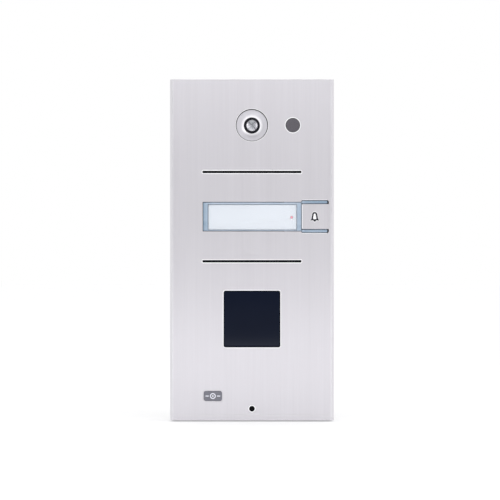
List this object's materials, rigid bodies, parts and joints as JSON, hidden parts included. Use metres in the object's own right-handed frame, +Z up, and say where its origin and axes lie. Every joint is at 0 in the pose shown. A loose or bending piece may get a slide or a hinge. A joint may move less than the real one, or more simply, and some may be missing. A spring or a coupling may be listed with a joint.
{
  "type": "door intercom panel",
  "caption": "Slim surface-mounted door intercom panel: hinged stainless cover with camera, name window, sprung call button and card reader over a wall housing.",
  "frame": {"origin": "centre of the housing's back face, which lies on the wall", "axes": "+Z up along the panel's height, +Y into the wall, -Y out of the panel's front, +X to the right seen from the front"},
  "size_m": [0.101, 0.029, 0.21],
  "materials": {
    "satin_steel": "satin stainless steel, brushed along the height",
    "satin_silver": "satin silver, turned",
    "plain_steel": "plain zinc-coated steel",
    "dark_steel": "dark sintered magnet with steel plates",
    "black_metal": "black painted pressing",
    "cast_metal": "grey painted light-alloy casting",
    "brass": "turned brass",
    "copper": "enamelled copper wire, wound flat",
    "black_rubber": "matt black rubber",
    "black_plastic": "matt black moulding",
    "grey_plastic": "mid grey moulding",
    "blue_plastic": "blue moulding",
    "green_plastic": "green moulding",
    "gloss_black": "gloss black",
    "dark_gloss": "polished near-black window, faintly blue",
    "grey_window": "smoked grey window",
    "clear_glass": "clear, coated",
    "blue_acrylic": "pale blue translucent acrylic",
    "white_card": "white card",
    "red_lamp": "diffused red lamp",
    "black_cloth": "fine black cloth",
    "black_paper": "pressed black paper",
    "green_board": "green circuit board"
  },
  "bodies": {
    "wall_unit": {"rear_housing": "cast_metal", "housing_seal": "black_rubber", "cable_grommet": "black_rubber", "lock_insert_left": "brass", "lock_insert_right": "brass"},
    "lock_screw_left_body": {"lock_screw_left": "plain_steel"},
    "lock_screw_right_body": {"lock_screw_right": "plain_steel"},
    "call_button_body": {"call_button": "satin_steel", "bell_mark": "black_plastic", "button_pusher": "black_rubber"},
    "switch_plunger_body": {"switch_plunger": "grey_plastic"},
    "cover": {"backlight_board": "green_board", "badge": "grey_plastic", "board_screw_1": "plain_steel", "board_screw_2": "plain_steel", "board_screw_3": "plain_steel", "board_screw_4": "plain_steel", "bottom_end_cap": "grey_plastic", "button_board": "green_board", "camera_bezel": "satin_silver", "camera_board": "green_board", "camera_housing": "black_plastic", "carrier_nut_1": "plain_steel", "carrier_nut_2": "plain_steel", "carrier_nut_3": "plain_steel", "carrier_nut_4": "plain_steel", "front_plate": "satin_steel", "hinge_rod": "plain_steel", "lens_barrel": "gloss_black", "lens_glass": "clear_glass", "light_guide": "blue_acrylic", "light_sensor_tube": "black_plastic", "light_sensor_window": "grey_window", "main_board": "green_board", "microphone_boot": "black_rubber", "microphone_capsule": "black_cloth", "module_carrier": "black_plastic", "name_label": "white_card", "name_window": "clear_glass", "network_jack": "plain_steel", "photodiode": "clear_glass", "processor_shield": "plain_steel", "reader_board": "green_board", "reader_coil": "copper", "reader_frame": "black_plastic", "reader_window": "dark_gloss", "relay": "blue_plastic", "speaker_basket": "black_metal", "speaker_cone": "black_paper", "speaker_gauze_lower": "black_cloth", "speaker_gauze_upper": "black_cloth", "speaker_magnet": "dark_steel", "status_led": "red_lamp", "switch_body": "black_plastic", "terminal_block_lower": "green_plastic", "terminal_block_upper": "green_plastic", "top_end_cap": "grey_plastic"}
  },
  "joints": [
    {"name": "cover_hinge", "type": "hinge", "parent": "wall_unit", "child": "cover", "pos_m": [0, -0.004, 0.1005], "axis": [-1, 0, 0], "range_deg": [0, 40]},
    {"name": "call_button_press", "type": "hinge", "parent": "cover", "child": "call_button_body", "pos_m": [0.0474, -0.02825, 0.02048], "axis": [0, 0, -1], "range_deg": [0, 2.5], "stiffness_Nm_per_rad": 0.5},
    {"name": "switch_plunge", "type": "slide", "parent": "cover", "child": "switch_plunger_body", "axis": [0, 1, 0], "range_m": [0, 0.0006]},
    {"name": "lock_screw_left_travel", "type": "slide", "parent": "wall_unit", "child": "lock_screw_left_body", "axis": [0, 0, -1], "range_m": [0, 0.0065]},
    {"name": "lock_screw_right_travel", "type": "slide", "parent": "wall_unit", "child": "lock_screw_right_body", "axis": [0, 0, -1], "range_m": [0, 0.0065]}
  ],
  "couplings": [
    {"joint": "switch_plunge", "follows": "call_button_press", "m_per_rad": 0.0134}
  ]
}
